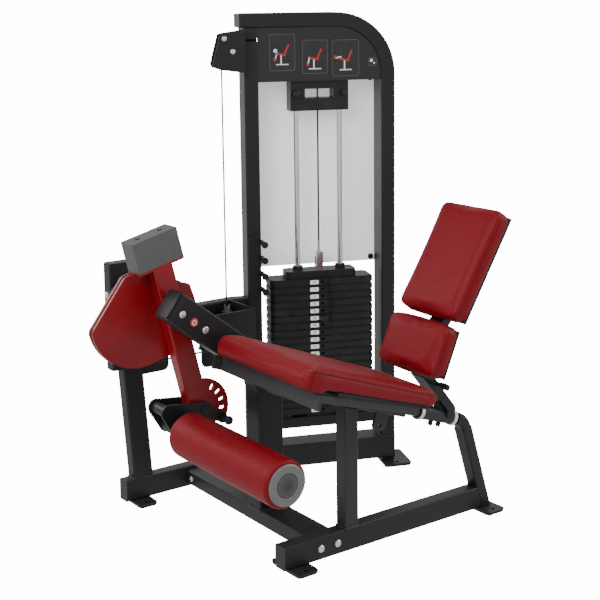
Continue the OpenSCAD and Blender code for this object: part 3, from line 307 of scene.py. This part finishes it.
# Plate numbers. A white printed sticker sits on the front edge of each plate beside its pin
# hole, with the plate's load as a plain number.
sticker_white = Finish("sticker_white", (0.92, 0.92, 0.90), Roughness=0.35)
sticker_white.bump(sticker_white.noise(300.0, 1.0), 0.0001, 0.3)
number_black = Finish("number_black", (0.012, 0.012, 0.013), Roughness=0.5)


stack_low, plate_pitch, plate_count, plate_load = 0.218, 0.0262, 19, 5


def plate_sticker(shape, row):
    height = stack_low + (row + 0.5) * plate_pitch
    place = tower @ Matrix.Translation((-0.250, -0.0002, height)) @ Matrix.Rotation(pi / 2, 4, "X")
    made = bmesh.ops.create_grid(shape, x_segments=1, y_segments=1, size=0.5)
    bmesh.ops.scale(shape, vec=(0.031, 0.015, 1.0), verts=made["verts"])
    corners = bmesh.ops.bevel(
        shape, geom=made["verts"], affect="VERTICES", offset=0.003, segments=4, profile=0.5, material=-1
    )
    sheet = [f for f in shape.faces if all(v in set(corners["verts"]) for v in f.verts)]
    walls = bmesh.ops.extrude_face_region(shape, geom=sheet)
    lifted = [item for item in walls["geom"] if isinstance(item, bmesh.types.BMVert)]
    bmesh.ops.translate(shape, vec=(0.0, 0.0, 0.0004), verts=lifted)
    every = list({v for v in corners["verts"]} | set(lifted))
    bmesh.ops.transform(shape, matrix=place, verts=every)


def plate_number(shape, row):
    height = stack_low + (row + 0.5) * plate_pitch
    place = tower @ Matrix.Translation((-0.250, -0.0007, height)) @ Matrix.Rotation(pi / 2, 4, "X")
    words = bpy.data.curves.new("number", "FONT")
    words.body = str((plate_count - row + 1) * plate_load)
    words.size = 0.0125
    words.align_x = "CENTER"
    words.align_y = "CENTER"
    words.extrude = 0.0001
    holder = bpy.data.objects.new("number", words)
    mesh = bpy.data.meshes.new_from_object(holder)
    mesh.transform(place)
    before = len(shape.faces)
    shape.from_mesh(mesh)
    shape.faces.ensure_lookup_table()
    for face in shape.faces[before:]:
        face.material_index = 1
    bpy.data.objects.remove(holder)
    bpy.data.meshes.remove(mesh)


resting_count = 13
for name, body, rows in (
    ("resting_numbers", "frame", range(resting_count)),
    ("lifted_numbers", "stack", range(resting_count, plate_count)),
):
    shape = bmesh.new()
    for row in rows:
        plate_sticker(shape, row)
    bmesh.ops.recalc_face_normals(shape, faces=shape.faces[:])
    for row in rows:
        plate_number(shape, row)
    numbers = piece(name, shape, sticker_white, number_black)
    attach(numbers, body)


# Rubber, nylon and moulded plastic. The feet and bumpers are matt rubber, the pulleys grey
# nylon, and the caps, knobs and handle are moulded with a fine spark-eroded grain.
rubber = Finish("black_rubber", (0.012, 0.012, 0.012), Specular_IOR_Level=0.3)
rubber.feed("Roughness", 0.72 + rubber.noise(90.0, 3.0) * 0.15)
rubber.bump(rubber.noise(420.0, 3.0), 0.0004, 0.4)
dress(rubber, "rubber_feet", "stack_bumpers")
nylon = Finish("pulley_nylon", (0.050, 0.050, 0.053), Specular_IOR_Level=0.45)
nylon.feed("Roughness", 0.38 + nylon.noise(120.0, 3.0) * 0.12)
nylon.bump(nylon.noise(800.0, 2.0), 0.0002, 0.3)
dress(nylon, "over_stack_pulley", "front_pulley", "lower_pulley", "guide_pulley")
moulded = Finish("moulded_black", (0.0100, 0.0100, 0.0108), Specular_IOR_Level=0.35)
moulded.feed("Roughness", 0.36 + moulded.noise(150.0, 3.0) * 0.14)
moulded.bump(moulded.cells(1500.0), 0.00015, 0.4)
dress(moulded, "end_caps", "pull_pin", "lower_knob", "upper_knob", "adjust_handle", "selector_pin")


# Cables. Wire rope in a smooth black nylon jacket, lightly scuffed where it runs over the
# pulleys. The strands press faintly through the jacket.
jacket = Finish("cable_jacket", (0.011, 0.011, 0.012), Specular_IOR_Level=0.5)
scuff = jacket.noise(160.0, 4.0, 0.6).fade(0.5, 0.8)
jacket.feed("Base Color", jacket.between(scuff, jacket.shade(1.0), jacket.shade(2.2)))
jacket.feed("Roughness", 0.33 + scuff * 0.25)
jacket.bump(jacket.noise(500.0, 2.0), 0.0002, 0.4)
dress(jacket, "frame_cable", "cam_cable", "stack_cable")


# Rear panel. A sheet of pale moulded plastic, held at its corners by black studs, closes the
# back of the tower above the weights.
# The panel also glows faintly from its own emission: painted light that makes the sheet read brighter.
panel = Finish(
    "panel_plastic", (0.90, 0.90, 0.915), Specular_IOR_Level=0.4,
    Emission_Color=(1.0, 1.0, 1.0, 1.0), Emission_Strength=0.45
)
panel.feed("Roughness", 0.38 + panel.noise(14.0, 4.0) * 0.14)
panel.bump(panel.noise(350.0, 2.0), 0.0002, 0.3)
dress(panel, "rear_panel")


# Placard. A black gloss sheet fills the tower's head. It has three framed diagram cards and a
# small square one, each a printed sheet with round corners and a thin grey rim.
placard_black = Finish("placard_gloss", (0.0035, 0.0035, 0.0038), Coat_Weight=0.15, Coat_Roughness=0.2)
placard_black.feed("Roughness", 0.24 + placard_black.noise(18.0, 3.0) * 0.1)
dress(placard_black, "placard")
card_rim = Finish("card_rim", (0.075, 0.075, 0.078), Roughness=0.4)
card_rim.bump(card_rim.noise(260.0, 1.0), 0.0001, 0.3)
card_field = Finish("card_field", (0.0055, 0.0055, 0.006), Coat_Weight=0.1)
card_field.feed("Base Color", card_field.between(
    card_field.noise(22.0, 2.0), card_field.shade(0.5), card_field.shade(2.4)))
card_field.feed("Roughness", 0.3 + card_field.noise(60.0, 2.0) * 0.1)
card_red = Finish("card_red", (0.40, 0.012, 0.018), Roughness=0.35)
card_red.bump(card_red.noise(260.0, 1.0), 0.0001, 0.3)
card_pale = Finish("card_pale", (0.62, 0.63, 0.66), Roughness=0.35)
card_pale.bump(card_pale.noise(260.0, 1.0), 0.0001, 0.3)


def printed_card(name, left, right, low, high, marks):
    shape = bmesh.new()
    made = bmesh.ops.create_grid(shape, x_segments=1, y_segments=1, size=0.5)
    bmesh.ops.scale(shape, vec=(right - left, high - low, 1.0), verts=made["verts"])
    bmesh.ops.bevel(
        shape, geom=made["verts"], affect="VERTICES", offset=0.009, segments=6, profile=0.5, material=-1
    )
    shape.faces.ensure_lookup_table()
    face = shape.faces[0]
    grown = bmesh.ops.extrude_face_region(shape, geom=[face])
    top = [item for item in grown["geom"] if isinstance(item, bmesh.types.BMVert)]
    bmesh.ops.translate(shape, vec=(0.0, 0.0, 0.0010), verts=top)
    lid = [item for item in grown["geom"] if isinstance(item, bmesh.types.BMFace)]
    bmesh.ops.inset_region(shape, faces=lid, thickness=0.0016, depth=-0.0002)
    for item in lid:
        item.material_index = 1
    bmesh.ops.recalc_face_normals(shape, faces=shape.faces[:])
    for kind, colour, x, y, wide, tall, turn in marks:
        if kind == "bar":
            bit = bmesh.ops.create_cube(shape, size=1.0)["verts"]
            bmesh.ops.scale(shape, vec=(wide, tall, 0.0006), verts=bit)
        else:
            bit = bmesh.ops.create_cone(
                shape, cap_ends=True, segments=28, radius1=wide / 2, radius2=wide / 2, depth=0.0006
            )["verts"]
        matrix = Matrix.Translation((x, y, 0.0012)) @ Matrix.Rotation(radians(turn), 4, "Z")
        bmesh.ops.transform(shape, matrix=matrix, verts=bit)
        for item in {f for v in bit for f in v.link_faces}:
            item.material_index = colour
    centre = Matrix.Translation(((left + right) / 2, 0.0079, (low + high) / 2))
    bmesh.ops.transform(shape, matrix=tower @ centre @ Matrix.Rotation(pi / 2, 4, "X"), verts=shape.verts[:])
    card = piece(name, shape, card_rim, card_field, card_red, card_pale)
    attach(card, "frame")


bench = [
    ("bar", 2, -0.004, -0.006, 0.034, 0.007, -12), ("bar", 2, 0.016, 0.012, 0.006, 0.034, -24),
    ("bar", 3, -0.004, -0.024, 0.005, 0.030, 0), ("bar", 3, 0.000, -0.041, 0.044, 0.004, 0),
]
printed_card("card_machine", -0.400, -0.309, 1.452, 1.578, bench + [
    ("disc", 2, -0.026, -0.024, 0.012, 0, 0), ("bar", 3, -0.021, -0.010, 0.004, 0.022, -14),
    ("disc", 3, -0.024, 0.006, 0.014, 0, 0)])
printed_card("card_start", -0.284, -0.193, 1.440, 1.556, bench + [
    ("disc", 2, -0.026, -0.026, 0.011, 0, 0), ("bar", 3, -0.022, -0.012, 0.005, 0.024, -12)])
printed_card("card_finish", -0.177, -0.080, 1.429, 1.555, bench + [
    ("disc", 2, -0.037, 0.004, 0.011, 0, 0), ("bar", 3, -0.026, 0.002, 0.022, 0.005, 10)])
printed_card("card_code", -0.046, -0.016, 1.462, 1.492, [
    ("bar", 3, -0.004, 0.004, 0.010, 0.010, 0), ("bar", 3, 0.006, -0.005, 0.006, 0.006, 0)])


# Pivot marker. A red ring with a pale centre is stuck on the seat arm over the lever's axis,
# so that the sitter can line a knee up with it.
marker_print = Finish("pivot_marker_print", (0.46, 0.02, 0.03), Roughness=0.35, Coat_Weight=0.3)
pivot_y, pivot_z = -0.168, 0.736
from_axis = ((marker_print.axis("Y") - pivot_y) ** 2.0 + (marker_print.axis("Z") - pivot_z) ** 2.0) ** 0.5
hollow = (from_axis < 0.0085) * (from_axis > 0.0045)
print_pale = (0.55, 0.50, 0.50, 1.0)
marker_print.feed("Base Color", marker_print.between(hollow, marker_print.shade(1.0), print_pale))
shape = bmesh.new()
for radius, lift in ((0.0135, 0.0), (0.0135, 0.0010), (0.0128, 0.0014), (0.0, 0.0014)):
    shape.verts.new((radius, 0.0, lift))
shape.verts.ensure_lookup_table()
for first in range(3):
    shape.edges.new((shape.verts[first], shape.verts[first + 1]))
bmesh.ops.spin(
    shape, geom=shape.verts[:] + shape.edges[:], cent=(0, 0, 0), axis=(0, 0, 1), angle=2 * pi, steps=48,
    use_merge=True
)
bmesh.ops.remove_doubles(shape, verts=shape.verts[:], dist=0.00001)
bmesh.ops.transform(
    shape, verts=shape.verts[:],
    matrix=Matrix.Translation((-0.273, pivot_y, pivot_z)) @ Matrix.Rotation(pi / 2, 4, "Y")
)
bmesh.ops.recalc_face_normals(shape, faces=shape.faces[:])
marker = piece("pivot_marker", shape, marker_print)
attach(marker, "frame")


# Cushions. Cut foam on a plywood board, pulled tight in red grained vinyl with a stitched seam
# where the face meets the side band. The vinyl is stapled under the board's edge.
def vinyl(name, seam=None):
    finish = Finish(name, (0.172, 0.0016, 0.0062), Specular_IOR_Level=0.16)
    mottle = finish.noise(9.0, 4.0, 0.55)
    grain = finish.cells(620.0)
    creases = finish.noise(34.0, 3.0, 0.6)
    face = finish.between(mottle * 0.7 + grain * 0.3, finish.shade(0.84), finish.shade(1.14))
    height = grain * 0.5 + creases * 0.9
    # Along the seams the vinyl is painted dark, as painted shade in the seam groove, and the bump dips
    # there.
    if seam:
        seam_groove_shade = seam(finish)
        face = finish.between(seam_groove_shade * 0.75, face, finish.shade(0.12))
        height = height - seam_groove_shade * 2.0
    finish.feed("Base Color", face)
    finish.feed("Roughness", 0.40 + mottle * 0.10 + grain * 0.08)
    finish.bump(height, 0.0009, 0.32)
    return finish


# A soft line of painted seam shade either side of a seam.
def shaded_seam_line(distance):
    return 1.0 - distance.size().fade(0.0007, 0.0021)


def seat_seam_shade(finish):
    along, high = leaned(finish, seat_y, seat_z, seat_tilt)
    side = finish.axis("X").size()
    edge = front_half - (along - seat_front) * (narrowing / seat_long)
    on_side = side > edge - 0.014
    turn_in = seat_front + seam_in
    band = shaded_seam_line(high + (along + 0.329) * (0.0145 / 0.55) - 0.0845) * on_side * (along > turn_in)
    corner = shaded_seam_line(along - turn_in) * on_side * (high < 0.0845)
    return band + corner


def back_seam_shade(foot_y, foot_z, lean):
    def back_seam_shade_mask(finish):
        deep, high = leaned(finish, foot_y, foot_z, lean)
        return shaded_seam_line(deep - 0.019)
    return back_seam_shade_mask


board_paint = Finish("board_paint", (0.013, 0.0125, 0.0125), Specular_IOR_Level=0.3)
board_paint.feed("Roughness", 0.62 + board_paint.noise(40.0, 4.0) * 0.2)
board_paint.bump(board_paint.noise(150.0, 4.0), 0.0004, 0.4)
dress(board_paint, "seat_board", "back_boards")


def soften(shape, verts, times):
    for _ in range(times):
        bmesh.ops.smooth_vert(
            shape, verts=verts, factor=0.5, use_axis_x=True, use_axis_y=True, use_axis_z=True
        )


def stuffed_pad(name, solid, place, base, up, thin, cap, voxel, seams, cover, reach=(0.0, 1.0)):
    """Foam pad of a CAD solid's size, made even, thinned, swollen and creased at its seams.

    up is the side away from the board and base says what lies on it, in the pad's own axes.
    reach is a fixed end and a stretch along the pad's own y.
    """
    inward = place.inverted()
    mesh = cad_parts[solid].data.copy()
    pad = bpy.data.objects.new(name, mesh)
    bpy.context.collection.objects.link(pad)
    shape = bmesh.new()
    shape.from_mesh(mesh)
    bmesh.ops.remove_doubles(shape, verts=shape.verts[:], dist=0.00002)
    shape.to_mesh(mesh)
    shape.free()
    remesh = pad.modifiers.new("even_faces", "REMESH")
    remesh.mode = "VOXEL"
    remesh.voxel_size = voxel
    even = bpy.data.meshes.new_from_object(pad.evaluated_get(bpy.context.evaluated_depsgraph_get()))
    pad.modifiers.remove(remesh)
    pad.data = even
    bpy.data.meshes.remove(mesh)
    even.transform(inward)
    shape = bmesh.new()
    shape.from_mesh(even)
    end, stretch = reach
    for vert in shape.verts:
        vert.co.y = end + (vert.co.y - end) * stretch
    soften(shape, shape.verts[:], 3)
    shape.normal_update()
    for vert in shape.verts:
        push = vert.normal * -thin
        if base(vert.co):
            push -= up * push.dot(up)
        vert.co += push
    shape.to_mesh(even)
    shape.free()
    even.transform(place)
    even.update()
    held = pad.vertex_groups.new(name="stapled")
    held.add([v.index for v in even.vertices if base(inward @ v.co)], 1.0, "REPLACE")
    cloth = pad.modifiers.new("swell", "CLOTH")
    cloth.settings.quality = 5
    cloth.settings.mass = 0.3
    cloth.settings.use_pressure = True
    cloth.settings.uniform_pressure_force = 1.5
    cloth.settings.effector_weights.gravity = 0.0
    cloth.settings.vertex_group_mass = "stapled"
    cloth.collision_settings.use_collision = False
    cloth.point_cache.frame_start = 1
    cloth.point_cache.frame_end = 20
    for step in range(1, 21):
        bpy.context.scene.frame_set(step)
    swollen = pad.evaluated_get(bpy.context.evaluated_depsgraph_get())
    spots = [v.co.copy() for v in swollen.data.vertices]
    pad.modifiers.remove(cloth)
    bpy.context.scene.frame_set(1)
    for vert, spot in zip(even.vertices, spots):
        move = spot - vert.co
        if move.length > cap:
            move *= cap / move.length
        vert.co += move
    shape = bmesh.new()
    shape.from_mesh(even)
    soften(shape, [v for v in shape.verts if not base(inward @ v.co)], 6)
    shape.to_mesh(even)
    shape.free()
    even.update()
    for vert in even.vertices:
        spot = inward @ vert.co
        depth = sum(seam(spot) for seam in seams)
        if depth:
            vert.co -= vert.normal * depth
    for face in even.polygons:
        face.use_smooth = True
    even.materials.clear()
    even.materials.append(cover.material)
    smooth = pad.modifiers.new("soft_curve", "SUBSURF")
    smooth.levels = 1
    smooth.render_levels = 1
    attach(pad, "frame" if solid == "seat_cushion" else "back")
    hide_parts(solid)
    return pad


def groove(distance, depth=0.0022, width=0.0045):
    return depth * max(0.0, 1.0 - abs(distance) / width)


seat_place = Matrix.Translation((0.0, seat_y, seat_z)) @ Matrix.Rotation(radians(-seat_tilt), 4, "X")
seat_front, seat_rear = -0.365, 0.240
seat_long = seat_rear - seat_front
solid_long = 0.545
front_half, narrowing = 0.245, 0.095
seam_in = 0.026


def seat_half(y):
    return front_half - (y - seat_front) * narrowing / seat_long


def front_seam(p):
    return groove(p.y - seat_front - seam_in) if p.z > 0.074 and abs(p.x) < seat_half(p.y) - 0.010 else 0.0


def side_seam(p):
    top = 0.1005 - (p.y - seat_front - 0.036) * 0.0145 / 0.55
    near_side = abs(p.x) > seat_half(p.y) - 0.016 and p.y > seat_front + seam_in
    return groove(p.z - top + 0.016) if near_side else 0.0


def corner_seam(p):
    return groove(p.y - seat_front - seam_in) if abs(p.x) > seat_half(p.y) - 0.012 and p.z < 0.086 else 0.0


stuffed_pad(
    "seat_pad", "seat_cushion", seat_place, lambda p: p.z < 0.0435, Vector((0, 0, 1)),
    0.0040, 0.0085, 0.006, (front_seam, side_seam, corner_seam),
    vinyl("seat_vinyl", seat_seam_shade), (seat_rear, seat_long / solid_long)
)


def band_seam(high):
    def seam(p):
        near_rim = abs(p.x) > 0.112 or p.z < 0.026 or p.z > high - 0.026
        return groove(p.y - 0.019) if near_rim else 0.0
    return seam


for name, solid, foot, lean, high in (
    ("upper_back_pad", "upper_pad", (0.0, 0.511, 0.718), 31.9, 0.386),
    ("lower_back_pad", "lower_pad", (0.0, 0.421, 0.546), 23.7, 0.177),
):
    place = Matrix.Translation(foot) @ Matrix.Rotation(radians(-lean), 4, "X")
    stuffed_pad(
        name, solid, place, lambda p: p.y > 0.0525, Vector((0, -1, 0)),
        0.0035, 0.0080, 0.005, (band_seam(high),),
        vinyl(name + "_vinyl", back_seam_shade(foot[1], foot[2], lean))
    )


# Ankle roller. A thick foam tube in the same vinyl, turned in at both ends under a grey cast
# cap. The cap has a raised rim and a domed middle over the axle's end.
hub_y, hub_z = -0.16694, 0.36664
far_end, near_end, roller_r, lip_r = -0.3295, 0.1995, 0.0715, 0.011
roller_vinyl = vinyl("roller_vinyl")
profile = []
for step in range(9):
    angle = pi / 2 * step / 8
    profile.append((far_end + lip_r * (1 - cos(angle)), roller_r - lip_r + lip_r * sin(angle)))
for step in range(1, 24):
    reach_in = step / 24
    flat = near_end - far_end - 2 * lip_r
    profile.append((far_end + lip_r + reach_in * flat, roller_r + 0.0006 * sin(reach_in * pi)))
for step in range(9):
    angle = pi / 2 * step / 8
    profile.append((near_end - lip_r + lip_r * sin(angle), roller_r - lip_r + lip_r * cos(angle)))
profile += [(0.1992, 0.052), (0.1975, 0.0455), (-0.3270, 0.0455), (-0.3290, 0.052)]
shape = bmesh.new()
for across, radius in profile:
    shape.verts.new((across, 0.0, radius))
shape.verts.ensure_lookup_table()
for first in range(len(profile)):
    shape.edges.new((shape.verts[first], shape.verts[(first + 1) % len(profile)]))
bmesh.ops.spin(
    shape, geom=shape.verts[:] + shape.edges[:], cent=(0, 0, 0), axis=(1, 0, 0), angle=2 * pi, steps=96,
    use_merge=True
)
bmesh.ops.remove_doubles(shape, verts=shape.verts[:], dist=0.00001)
bmesh.ops.translate(shape, vec=(0.0, hub_y, hub_z), verts=shape.verts[:])
bmesh.ops.recalc_face_normals(shape, faces=shape.faces[:])
roller = piece("ankle_roller", shape, roller_vinyl, smooth=True)
smooth = roller.modifiers.new("soft_curve", "SUBSURF")
smooth.levels = 1
smooth.render_levels = 1
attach(roller, "roller")
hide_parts("foam_roller")

cap_alloy = Finish("cap_alloy", (0.155, 0.16, 0.155), Metallic=0.55)
swirl = cap_alloy.noise(90.0, 4.0, 0.6)
face = cap_alloy.between(swirl, cap_alloy.shade(0.85), cap_alloy.shade(1.15))
# The domed middle is painted darker towards its centre, as painted shade on the dome.
middle = ((cap_alloy.axis("Y") - hub_y) ** 2.0 + (cap_alloy.axis("Z") - hub_z) ** 2.0) ** 0.5
dome_shade = 1.0 - middle.fade(0.0335, 0.0365)
cap_alloy.feed("Base Color", cap_alloy.between(dome_shade * (1.0 - middle * 12.0), face, cap_alloy.shade(0.25)))
cap_alloy.feed("Roughness", 0.34 + swirl * 0.14)
cap_alloy.bump(cap_alloy.noise(500.0, 2.0), 0.0003, 0.35)
dress(cap_alloy, "roller_core")


# Lanyard. A soft black braided cord tied to the head plate, so that the selector pin can't be
# lost. It hangs in a loop in front of the plates and ends on the pin's neck.
braid = Finish("lanyard_braid", (0.012, 0.012, 0.013), Specular_IOR_Level=0.2)
braid.feed("Roughness", 0.75 + braid.noise(300.0, 2.0) * 0.15)
braid.bump(braid.cells(1100.0), 0.0004, 0.6)
knots = [
    (24, 9.4, 160), (24, 4, 161), (24.5, -1, 158), (25, -4, 152), (25.5, -5, 143), (27, -5, 111),
    (30, -5, 71), (32, -5, 31), (32.5, -5, 16), (31, -5, 3), (27, -5, -8), (21, -5, -13),
    (15.5, -5, -11), (12, -5, -6), (10.6, -5, 0),
]
route = [tower @ Vector((-0.220 + u / 1000, d / 1000, 0.5717 + h / 1000)) for u, d, h in knots]
line = bpy.data.curves.new("pin_lanyard", "CURVE")
line.dimensions = "3D"
line.bevel_depth = 0.002
line.bevel_resolution = 3
line.use_fill_caps = True
run = line.splines.new("POLY")
run.points.add(len(route) - 1)
for point, spot in zip(run.points, route):
    point.co = (*spot, 1.0)
line.materials.append(braid.material)
lanyard = bpy.data.objects.new("pin_lanyard", line)
bpy.context.collection.objects.link(lanyard)
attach(lanyard, "stack")
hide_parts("lanyard")


# Studio. A pale floor that rises into a round backdrop, soft light from above and both sides,
# and a camera at standing height in front of the seat's open side.
floor_finish = Finish(
    "studio_floor", (0.86, 0.86, 0.86), Roughness=0.8, Specular_IOR_Level=0.1,
    Emission_Color=(1.0, 1.0, 1.0, 1.0), Emission_Strength=14.0
)
shape = bmesh.new()
flat_out, rise_r, wall_top = 12.0, 6.0, 20.0
profile = [(0.0, 0.0), (flat_out, 0.0)]
for step in range(1, 13):
    angle = pi / 2 * step / 12
    profile.append((flat_out + rise_r * sin(angle), rise_r - rise_r * cos(angle)))
profile.append((flat_out + rise_r, wall_top))
for first, (out, up) in enumerate(profile):
    shape.verts.new((out, 0.0, up))
    shape.verts.ensure_lookup_table()
    if first:
        shape.edges.new((shape.verts[first - 1], shape.verts[first]))
bmesh.ops.spin(
    shape, geom=shape.verts[:] + shape.edges[:], cent=(0, 0, 0), axis=(0, 0, 1), angle=2 * pi, steps=72,
    use_merge=True
)
bmesh.ops.remove_doubles(shape, verts=shape.verts[:], dist=0.00001)
bmesh.ops.recalc_face_normals(shape, faces=shape.faces[:])
floor = piece("studio_floor", shape, floor_finish, smooth=True)
floor.visible_diffuse = False
floor.visible_glossy = False
floor.visible_shadow = False

sky = bpy.data.worlds.new("studio")
bpy.context.scene.world = sky
sky.use_nodes = True
sky.node_tree.nodes["Background"].inputs["Color"].default_value = (1.0, 1.0, 1.0, 1.0)
sky.node_tree.nodes["Background"].inputs["Strength"].default_value = 0.85


def soft_light(name, place, target, size, power):
    lamp = bpy.data.lights.new(name, "AREA")
    lamp.shape = "SQUARE"
    lamp.size = size
    lamp.energy = power
    holder = bpy.data.objects.new(name, lamp)
    holder.location = place
    holder.rotation_euler = (Vector(target) - Vector(place)).to_track_quat("-Z", "Y").to_euler()
    bpy.context.collection.objects.link(holder)


soft_light("key_light", (1.2, -3.2, 3.4), (-0.2, 0.2, 0.7), 2.2, 135.0)
soft_light("side_light", (-3.6, -1.6, 2.4), (-0.3, 0.2, 0.7), 2.0, 48.0)
soft_light("rear_light", (1.6, 3.4, 2.8), (-0.2, 0.3, 0.8), 2.0, 60.0)

view = bpy.data.cameras.new("camera")
view.lens = 76.94
view.sensor_width = 36.0
view.shift_y = -0.15
camera = bpy.data.objects.new("camera", view)
aim = Matrix.Rotation(radians(54.25), 4, "Z") @ Matrix.Rotation(radians(90 - 9.53), 4, "X")
roll = Matrix.Rotation(radians(-0.67), 4, "Z")
camera.matrix_world = Matrix.Translation((2.975, -2.107, 1.710)) @ aim @ roll
bpy.context.collection.objects.link(camera)
bpy.context.scene.camera = camera
